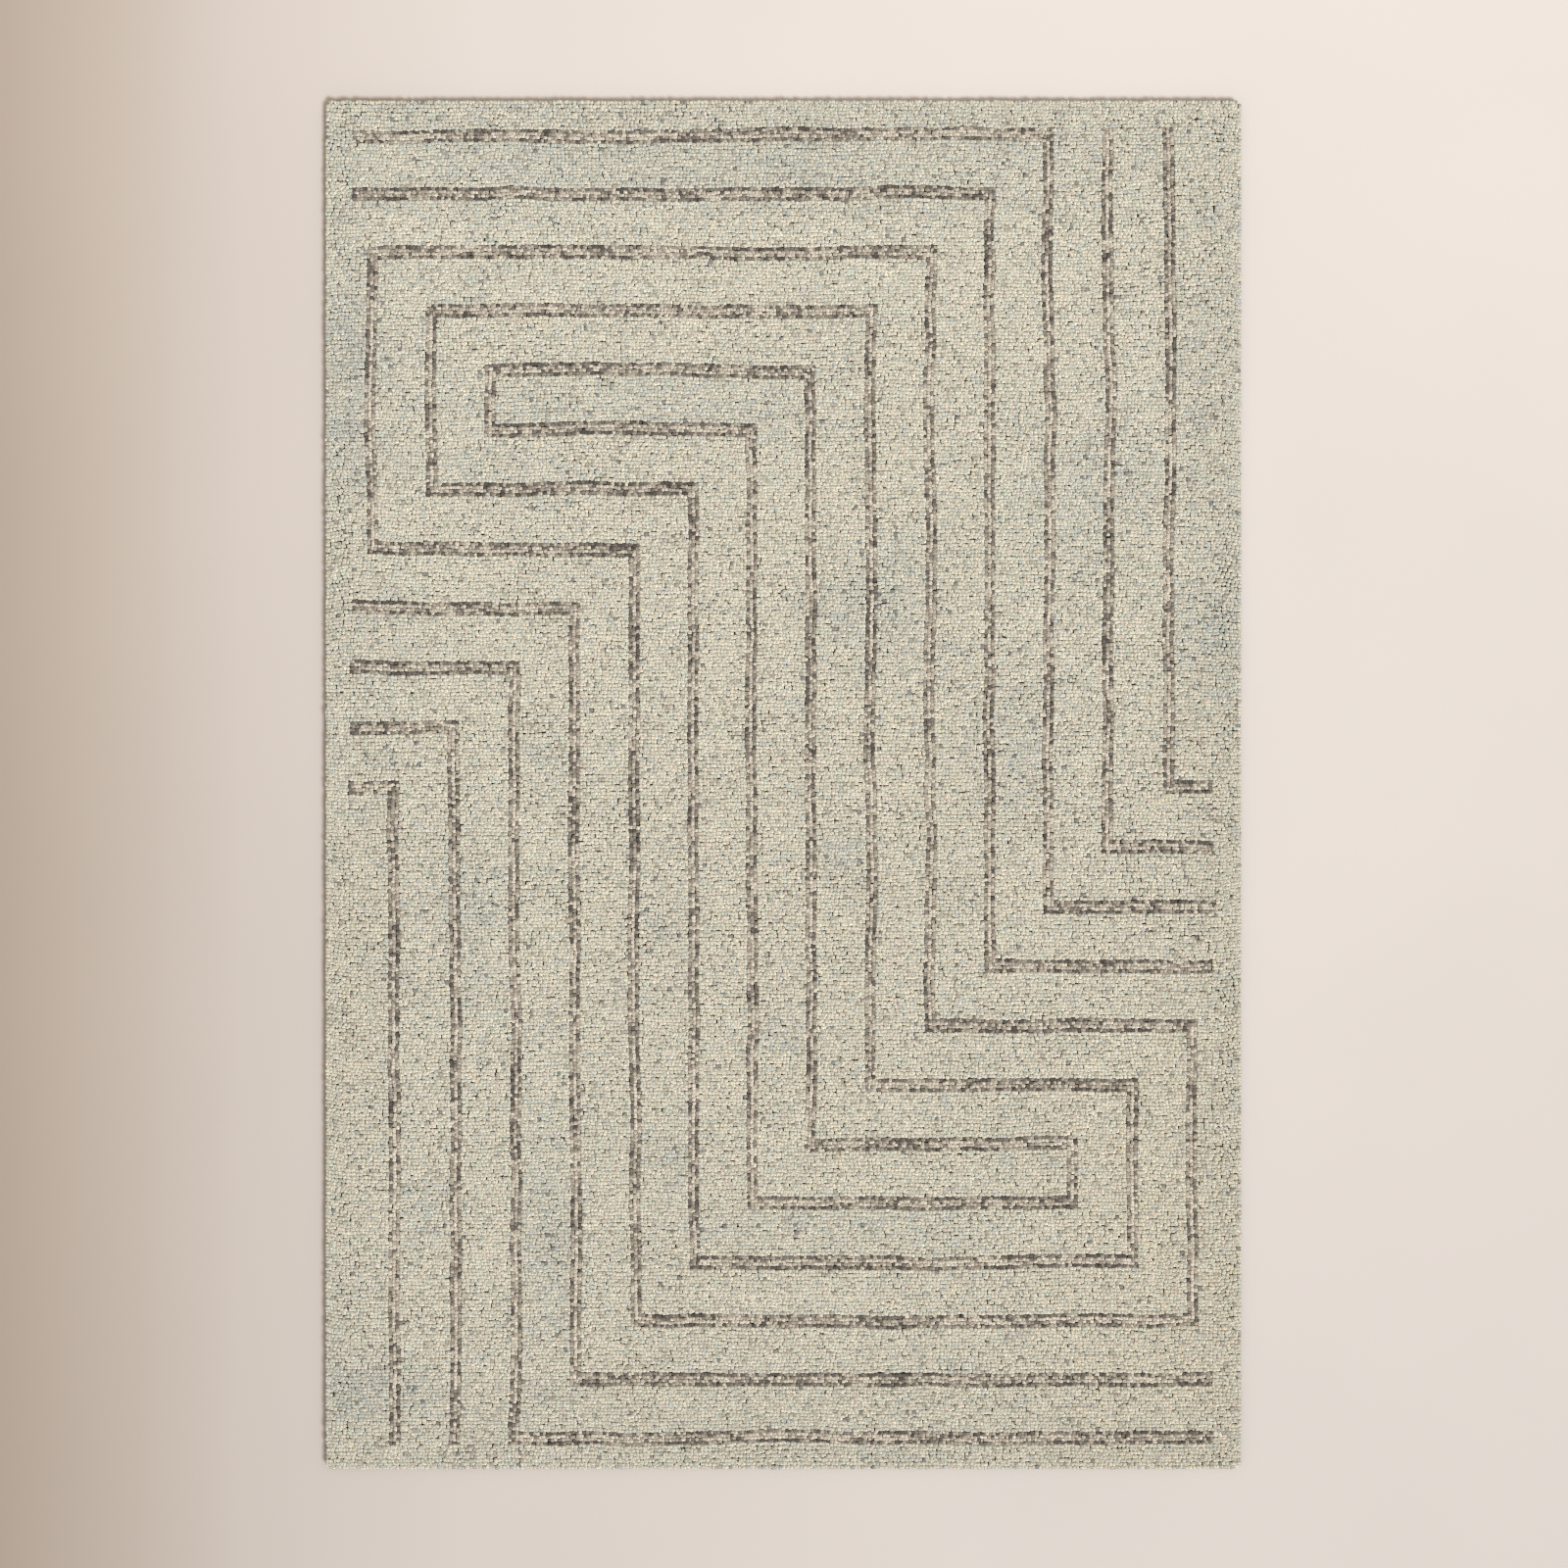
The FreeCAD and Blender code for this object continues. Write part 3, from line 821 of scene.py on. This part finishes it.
# How much darker cool yarn is, and the tints of cool and of warm places.
COOL_DARKER = 0.08
COOL_TINT = (-0.02, 0, 0.03)
WARM_TINT = (0.02, 0, -0.03)
# How much streaks along the rows and single loops of the pale pile differ in brightness.
PALE_STREAK = 0.05
PALE_STREAK_SIZE = (0.022, 0.0048)
PALE_YARN_SPREAD = 0.04
# How much painted shade darkens the pile towards the rug's edges, from that share of the way out to
# them, and from the rug's far end to its near one.
EDGE_PAINTED_SHADE = 0.06
EDGE_FROM = 0.8
NEAR_PAINTED_SHADE = 0.06
# Wool reflects no more than this share of the light.
MOST_REFLECTED = 0.95


def patchiness(x, y, patches):
    """How strongly these places lie in any of the patches, from 0 to 1."""
    strength = np.zeros(x.shape)
    for (across, along), (spread_x, spread_y), peak in patches:
        far_x = (x / RUG_WIDTH - across) / spread_x
        far_y = (y / RUG_LENGTH - along) / spread_y
        strength = np.maximum(strength, peak * np.exp(-0.5 * (far_x**2 + far_y**2)))
    return strength


def picked(palette, shares, draw):
    """For each loop, the palette's colour whose running share its draw falls in."""
    running = np.cumsum(shares / shares.sum(axis=1, keepdims=True), axis=1)
    choice = (draw[:, None] > running[:, :-1]).sum(axis=1)
    return np.array([linear(*colour) for colour in palette])[choice]


def pale_colours(x, y, rng):
    """Heathered pale yarn, in short streaks along the rows and in larger patches, with painted shade
    towards the rug's edges and its near end.
    """
    count = x.shape
    cool = COOL_STRENGTH * patchiness(x, y, COOL_PATCHES)
    cool += COOL_CLOUD * smooth_noise(x, y, *COOL_CLOUD_SIZE, seed=60)
    cool_streak = COOL_STREAK * smooth_noise(x, y, *COOL_STREAK_SIZE, seed=61)
    cool = np.clip(cool + cool_streak * (cool > COOL_PLACE), 0, 1)
    warm = patchiness(x, y, WARM_PATCHES)
    palette = [colour for colour, _, _ in PALE_YARNS.values()]
    plain = np.array([share for _, share, _ in PALE_YARNS.values()])
    cooled = np.array([share for _, _, share in PALE_YARNS.values()])
    shares = plain + cool[:, None] * (cooled - plain)
    colours = picked(palette, shares, rng.random(count))
    streak = PALE_STREAK * smooth_noise(x, y, *PALE_STREAK_SIZE, seed=62)
    light = 1 + streak + rng.normal(0, PALE_YARN_SPREAD, count) - COOL_DARKER * cool
    # Painted shade: the pile gets darker towards the rug's edges and from its far end to its near
    # one.
    way_out = np.maximum(np.abs(x) / RUG_WIDTH, np.abs(y) / RUG_LENGTH) * 2
    light -= EDGE_PAINTED_SHADE * np.clip((way_out - EDGE_FROM) / (1 - EDGE_FROM), 0, 1)
    light -= NEAR_PAINTED_SHADE * (0.5 - y / RUG_LENGTH)
    tint = 1 + np.outer(cool, COOL_TINT) + np.outer(warm, WARM_TINT)
    return colours * light[:, None] * tint


def line_colours(x, y, on_side, upright, rng):
    """Darker strands along both sides of a line and paler ones between them, all of mixed yarn."""
    count = x.shape
    strand = np.where(
        upright,
        smooth_noise(x, y, *UPRIGHT_STRAND, seed=70),
        smooth_noise(x, y, *LEVEL_STRAND, seed=71),
    )
    stretch = np.where(
        upright,
        smooth_noise(x, y, *UPRIGHT_STRETCH, seed=72),
        smooth_noise(x, y, *LEVEL_STRETCH, seed=73),
    )
    paleness = np.where(on_side, SIDE_PALENESS, MIDDLE_PALENESS) + UPRIGHT_PALER * upright
    paleness += STRAND_SPREAD * strand + STRETCH_SPREAD * stretch
    paleness += rng.normal(0, YARN_SPREAD, count)
    stops = np.linspace(0, 1, len(LINE_YARNS))
    palette = np.array([linear(*colour) for colour in LINE_YARNS])
    return np.stack([np.interp(paleness, stops, channel) for channel in palette.T], axis=1)


def colour_loops(grid):
    """The linear colour of every loop."""
    rng = np.random.default_rng(80)
    x, y = grid["x"], grid["y"]
    is_line = grid["owner"] < len(LINE_NODES)
    pale = pale_colours(x, y, rng)
    lines = line_colours(x, y, grid["on_side"], grid["upright"], rng)
    return np.clip(np.where(is_line[:, None], lines, pale), 0, MOST_REFLECTED)


# ---- the pile ----


def make_pile(materials):
    """One object for each run of pile, or two where it has very many loops."""
    grid = lay_out_loops()
    loops = shape_loops(grid)
    loops["colour"] = colour_loops(grid)
    for number, node in enumerate(PILE_NODES):
        slot = "dark_wool" if node in LINE_NODES else "pale_wool"
        in_run = grid["owner"] == number
        parts = {f"{node}_loops": in_run}
        if in_run.sum() > MOST_LOOPS:
            middle = np.median(grid["y"][in_run])
            far = grid["y"] > middle
            parts = {f"{node}_loops_far": in_run & far, f"{node}_loops_near": in_run & ~far}
        for name, chosen in parts.items():
            run = {key: values[chosen] for key, values in loops.items()}
            piece = grow_loops(name, run, materials[slot])
            hand_over(piece, slot, node)


def hand_over(piece, slot, *nodes):
    """The piece rides on the rug and stands for the CAD nodes. The slot is not used."""
    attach(piece, "root")
    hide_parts(*nodes)


# ---- the back ----

# Steps of the outlines that the cloths and the latex are built from.
SIDE_STEPS_X = 40
SIDE_STEPS_Y = 60
ARC_STEPS = 5
RING_STEP = 0.03
# The innermost ring is this share of a step from the rug's middle line.
MIDDLE_GAP = 0.3
# How round the ends of that narrow ring may be, as a share of its half width.
MOST_BEND = 0.9
# The room between layers that touch.
SLACK = 0.05 * MILLIMETRE
# How wide the primary cloth's hem is.
HEM_WIDTH = 40 * MILLIMETRE


def outline_ring(inset, height, radius):
    """The rug's outline, moved inwards by the inset, with round corners, at one height."""
    half_x = RUG_WIDTH / 2 - inset
    half_y = RUG_LENGTH / 2 - inset
    bend = min(radius, MOST_BEND * half_x)
    centres = [(half_x - bend, half_y - bend), (bend - half_x, half_y - bend)]
    centres += [(-x, -y) for x, y in centres]
    points = []
    for number, (x, y) in enumerate(centres):
        angles = (number + np.linspace(0, 1, ARC_STEPS + 1)) * math.pi / 2
        arc = np.stack([x + bend * np.cos(angles), y + bend * np.sin(angles)], axis=1)
        next_x, next_y = centres[(number + 1) % len(centres)]
        steps = SIDE_STEPS_X if number % 2 == 0 else SIDE_STEPS_Y
        shares = np.linspace(0, 1, steps + 1)[1:-1, None]
        side = arc[-1] + shares * (np.array([next_x, next_y]) - (x, y))
        points += [arc, side]
    flat = np.concatenate(points)
    return np.column_stack([flat, np.full(len(flat), height)])


def inner_insets(outermost):
    """The insets of the rings that cover the middle of the rug, from the outermost inwards."""
    deepest = RUG_WIDTH / 2 - MIDDLE_GAP * RING_STEP
    return np.linspace(outermost, deepest, math.ceil((deepest - outermost) / RING_STEP))


def ring_body(name, profile, radius, material):
    """A closed body from rings. The profile is (inset, height) pairs that start at the outside of
    the flat top and end at the outside of the flat underside; both are closed over the middle."""
    top_inset, top = profile[0]
    bottom_inset, bottom = profile[-1]
    stations = [(inset, top) for inset in inner_insets(top_inset)[:0:-1]]
    stations += profile
    stations += [(inset, bottom) for inset in inner_insets(bottom_inset)[1:]]
    rings = [outline_ring(inset, height, radius) for inset, height in stations]
    size = len(rings[0])
    here = np.arange(size)
    after = (here + 1) % size
    faces = []
    for first in np.arange(len(rings) - 1) * size:
        second = first + size
        faces += list(np.stack([here + second, after + second, after + first, here + first], axis=1))
    last_ring = (len(rings) - 1) * size
    for face in closing_faces(size):
        faces.append(face)
        faces.append(face[::-1] + last_ring)
    sides = np.array([len(face) for face in faces])
    return new_piece(name, settle(np.concatenate(rings)), np.concatenate(faces), sides, material)


def closing_faces(size):
    """Faces over the last narrow ring: quads between its long sides and one face over each end."""
    end = np.arange(2 * ARC_STEPS + SIDE_STEPS_X + 1)
    left = end[-1] + np.arange(SIDE_STEPS_Y)
    right = (size - np.arange(SIDE_STEPS_Y)) % size
    quads = np.stack([left, left + 1, (right - 1) % size, right], axis=1)
    return [*quads, end, end + size // 2]


def heights_of(node):
    """The heights of a CAD node's underside and top."""
    low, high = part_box(node)
    return low.z, high.z


def cloth_thickness():
    base, top = heights_of("secondary_backing")
    return top - base


def make_primary_backing(material):
    """The cloth that holds the tufts, folded round the edge and back under itself as a hem."""
    base, top = heights_of("primary_backing")
    cloth = cloth_thickness()
    bend = 0.4 * MILLIMETRE
    profile = [
        (2 * bend, top), (0.3 * bend, top - 0.3 * bend), (0, top - bend),
        (0, base + bend), (0.3 * bend, base + 0.3 * bend), (2 * bend, base),
        (HEM_WIDTH - bend, base), (HEM_WIDTH, base + 0.5 * cloth), (HEM_WIDTH - bend, base + cloth),
        (cloth + bend, base + cloth), (cloth, base + cloth + bend),
        (cloth, top - cloth - bend), (cloth + bend, top - cloth),
    ]
    piece = ring_body("primary_backing_cloth", profile, 12 * MILLIMETRE, material)
    hand_over(piece, "primary_cloth", "primary_backing")


def make_latex(material):
    """The latex, which fills the fold of the hem and the opening inside the hem."""
    base, top = heights_of("latex_layer")
    cloth = cloth_thickness()
    profile = [
        (cloth + 2 * SLACK, top - SLACK), (cloth + SLACK, top - 4 * SLACK),
        (cloth + SLACK, base + cloth + 4 * SLACK), (cloth + 2 * SLACK, base + cloth + SLACK),
        (HEM_WIDTH + SLACK, base + cloth + SLACK), (HEM_WIDTH + SLACK, base + SLACK),
        (HEM_WIDTH + 4 * SLACK, base + SLACK),
    ]
    piece = ring_body("latex_coat", profile, 11 * MILLIMETRE, material)
    hand_over(piece, "latex", "latex_layer")


def make_secondary_backing(material):
    """The open-woven cloth glued over the whole back."""
    base, top = heights_of("secondary_backing")
    inset = RUG_WIDTH / 2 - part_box("secondary_backing")[1].x
    bend = 0.3 * MILLIMETRE
    profile = [
        (inset + bend, top - SLACK), (inset, top - bend), (inset, base + bend),
        (inset + bend, base + SLACK),
    ]
    piece = ring_body("secondary_backing_cloth", profile, 3 * MILLIMETRE, material)
    hand_over(piece, "secondary_cloth", "secondary_backing")


# ---- the binding tapes ----

TAPE_STEP = 20 * MILLIMETRE
# A tape's cross-section: shares of its width from its outer edge, and of its thickness from below.
TAPE_PROFILE = [
    (0.00, 0.5), (0.02, 0.12), (0.10, 0.0), (0.50, 0.0), (0.90, 0.0), (0.98, 0.12), (1.00, 0.5),
    (0.98, 0.88), (0.90, 1.0), (0.50, 1.0), (0.10, 1.0), (0.02, 0.88),
]
# The stitches under a tape: where their rows lie on its width, and their spacing and size.
STITCH_ROWS = (0.07, 0.93)
STITCH_PITCH = 7 * MILLIMETRE
STITCH_DEPTH = 0.3 * MILLIMETRE
STITCH_HALF_LENGTH = 2.1 * MILLIMETRE
STITCH_HALF_WIDTH = 0.35 * MILLIMETRE
STITCH_RELIEF = 0.95 * STITCH_DEPTH
STITCH_SLANT = 0.6
# How unevenly the stitches are placed and slanted.
STITCH_JITTER = 0.3 * MILLIMETRE
SLANT_SPREAD = 0.08


def tape_nodes():
    return sorted(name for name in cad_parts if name.startswith("edge_tape"))


def tape_frame(node):
    """Whether a tape runs across the rug, its outward sign, outer edge, width and half length."""
    low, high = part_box(node)
    runs_across = high.x - low.x > high.y - low.y
    axis = 1 if runs_across else 0
    outward = 1 if (low[axis] + high[axis]) > 0 else -1
    edge = high[axis] if outward > 0 else -low[axis]
    half_length = high.x if runs_across else high.y
    return runs_across, outward, edge, high[axis] - low[axis], half_length


def on_tape(node, along, inward):
    """The places of points that are given along a tape and inward from its outer edge."""
    runs_across, outward, edge, _, _ = tape_frame(node)
    out = outward * (edge - inward)
    if runs_across:
        return -outward * along, out
    return out, outward * along


def tape_strip(node):
    """The points, corners and face sizes of the strip itself, mitred at its ends."""
    _, _, _, width, half_length = tape_frame(node)
    base, top = heights_of(node)
    base += STITCH_DEPTH
    profile = np.array(TAPE_PROFILE)
    inward = profile[:, 0] * width
    steps = math.ceil(2 * half_length / TAPE_STEP)
    shares = np.linspace(-1, 1, steps + 1)[:, None]
    along = shares * (half_length - inward)
    x, y = on_tape(node, along, np.broadcast_to(inward, along.shape))
    z = np.broadcast_to(base + profile[:, 1] * (top - base), x.shape)
    points = np.stack([x, y, z], axis=-1).reshape(-1, 3)
    size = len(profile)
    here = np.arange(size)
    after = (here + 1) % size
    rings = np.arange(steps)[:, None] * size
    quads = np.stack(
        [here + rings, after + rings, after + rings + size, here + rings + size], axis=-1
    ).reshape(-1, 4)
    corners = np.concatenate([quads.ravel(), here[::-1], here + steps * size])
    sides = np.concatenate([np.full(len(quads), 4), [size, size]])
    return points, corners, sides


def tape_stitches(node, rng):
    """Slanting stitches in two rows along the tape, under its edges."""
    _, _, _, width, half_length = tape_frame(node)
    base = heights_of(node)[0] + STITCH_DEPTH
    points, corners, sides = [], [], []
    upside_down = LOOP_POINTS * (1, -1, -1)
    reach = half_length - width
    places = np.arange(-reach, reach, STITCH_PITCH)
    length = STITCH_HALF_LENGTH * upside_down[:, 0]
    breadth = STITCH_HALF_WIDTH * upside_down[:, 1]
    for inward in (share * width for share in STITCH_ROWS):
        for along in places + rng.normal(0, STITCH_JITTER, len(places)):
            turn = STITCH_SLANT + rng.normal(0, SLANT_SPREAD)
            x, y = on_tape(
                node,
                along + length * math.cos(turn) - breadth * math.sin(turn),
                inward + length * math.sin(turn) + breadth * math.cos(turn),
            )
            z = base + STITCH_RELIEF * upside_down[:, 2]
            points.append(np.stack([x, y, z], axis=1))
            corners.append(LOOP_CORNERS + len(corners) * len(LOOP_POINTS))
            sides.append(LOOP_FACE_SIDES)
    return np.concatenate(points), np.concatenate(corners), np.concatenate(sides)


def make_tapes(material):
    """The four tapes, each with the stitches that hold it."""
    rng = np.random.default_rng(90)
    for node in tape_nodes():
        strip = tape_strip(node)
        stitches = tape_stitches(node, rng)
        points = np.concatenate([strip[0], stitches[0]])
        corners = np.concatenate([strip[1], stitches[1] + len(strip[0])])
        sides = np.concatenate([strip[2], stitches[2]])
        piece = new_piece(f"{node}_twill", settle(points), corners, sides, material)
        hand_over(piece, "binding_tape", node)


# ---- the studio ----

# The rug's width as a share of the width of the view.
RUG_SHARE_OF_VIEW = 0.584
LENS = 85.0
SENSOR = 36.0
FLOOR_REACH = 30.0
# The key light's direction, strength, softness in degrees and colour, and the surround's light.
KEY_DIRECTION = (0.50, -0.56, 1.0)
KEY_STRENGTH = 2.15
KEY_SOFTNESS = 20
KEY_COLOUR = (0.92, 0.98, 1.09)
SURROUND_COLOUR = (1.0, 0.90, 0.79, 1)
SURROUND_STRENGTH = 0.54
# How many pixels wide each picture sample is spread; a small value keeps the loops crisp.
PIXEL_FILTER = 1.0
# How far the camera is from being straight over the rug's middle.
CAMERA_ASIDE = (0.8 * MILLIMETRE, 1.0 * MILLIMETRE)


def add_camera():
    """A camera straight over the middle of the rug, far enough away to look square."""
    data = bpy.data.cameras.new("camera")
    data.lens = LENS
    data.sensor_width = SENSOR
    data.clip_end = 2 * FLOOR_REACH
    camera = put_in_scene("camera", data)
    view_width = RUG_WIDTH / RUG_SHARE_OF_VIEW
    camera.location = (*CAMERA_ASIDE, PILE_TOP + view_width * LENS / SENSOR)
    bpy.context.scene.camera = camera


def add_floor(material):
    """A flat floor that reaches beyond every view."""
    points = np.array(square_corners(FLOOR_REACH))
    floor = new_piece("floor", points, np.arange(4), np.array([4]), material)


def add_sun(name, direction, strength, softness, colour):
    """A distant soft light that comes from the given direction."""
    data = bpy.data.lights.new(name, "SUN")
    data.energy = strength
    data.angle = math.radians(softness)
    data.color = colour
    sun = put_in_scene(name, data)
    sun.rotation_mode = "QUATERNION"
    sun.rotation_quaternion = Vector(direction).to_track_quat("Z", "Y")


def light_studio():
    """A soft key light from the near right, and an even warm surround."""
    add_sun("key", KEY_DIRECTION, KEY_STRENGTH, KEY_SOFTNESS, KEY_COLOUR)
    world = bpy.data.worlds.new("surround")
    world.use_nodes = True
    background = world.node_tree.nodes["Background"]
    background.inputs["Color"].default_value = SURROUND_COLOUR
    background.inputs["Strength"].default_value = SURROUND_STRENGTH
    bpy.context.scene.world = world
    bpy.context.scene.view_settings.view_transform = "Standard"
    bpy.context.scene.cycles.filter_width = PIXEL_FILTER


def make_rug():
    """The pile, the tapes, the two cloths and the latex, each with its material."""
    make_pile({
        "pale_wool": wool("pale_wool", sheen=0.25),
        "dark_wool": wool("dark_wool", sheen=0.1),
    })
    tape = twill(
        "binding_tape", light=(205, 194, 166), dark=(150, 138, 112), pitch=0.9 * MILLIMETRE
    )
    make_tapes(tape)
    primary_cloth = woven(
        "primary_cloth", light=(222, 212, 188), dark=(150, 138, 114), pitch=1.1 * MILLIMETRE
    )
    secondary_cloth = woven(
        "secondary_cloth",
        light=(206, 190, 156),
        dark=(118, 100, 72),
        pitch=2.6 * MILLIMETRE,
        wander=1.6,
        blotch=0.12,
    )
    make_secondary_backing(secondary_cloth)
    make_primary_backing(primary_cloth)
    make_latex(dried_latex("latex", light=(226, 219, 196), dark=(200, 190, 160)))


make_rug()
add_camera()
add_floor(studio_floor("studio_floor"))
light_studio()
